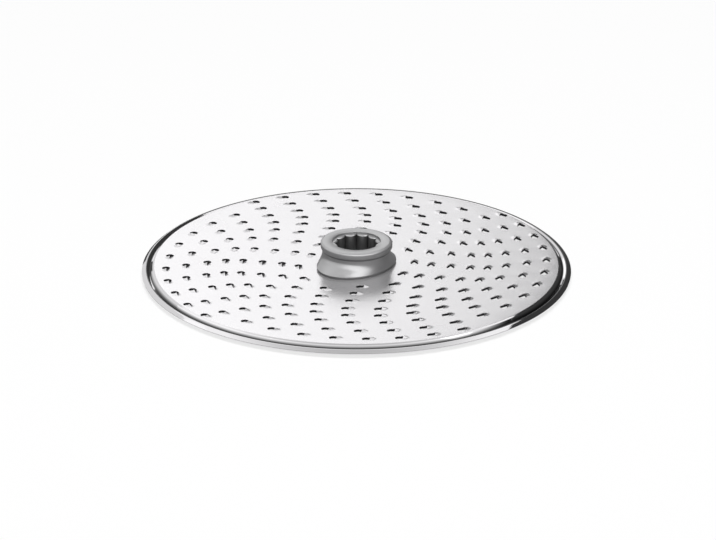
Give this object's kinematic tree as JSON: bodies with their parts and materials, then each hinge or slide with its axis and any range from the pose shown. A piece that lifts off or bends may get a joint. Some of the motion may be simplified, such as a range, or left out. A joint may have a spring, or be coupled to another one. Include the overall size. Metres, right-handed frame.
{
  "type": "food processor grating disc",
  "caption": "Round stamped steel grating disc with spiral rows of small hooded teeth, a grooved rolled rim and a grey moulded drive hub with a splined socket.",
  "frame": {"origin": "on the drive axis, in the plane of the hub's foot that the part stands on", "axes": "+Z along the drive axis, from the foot towards the cutting face and the hub's top ring"},
  "size_m": [0.125, 0.125, 0.0104],
  "materials": {
    "steel": "bright polished stainless steel",
    "hub_plastic": "satin grey moulded plastic"
  },
  "bodies": {
    "root": {"grating_disc": "steel", "drive_hub": "hub_plastic"}
  },
  "joints": []
}
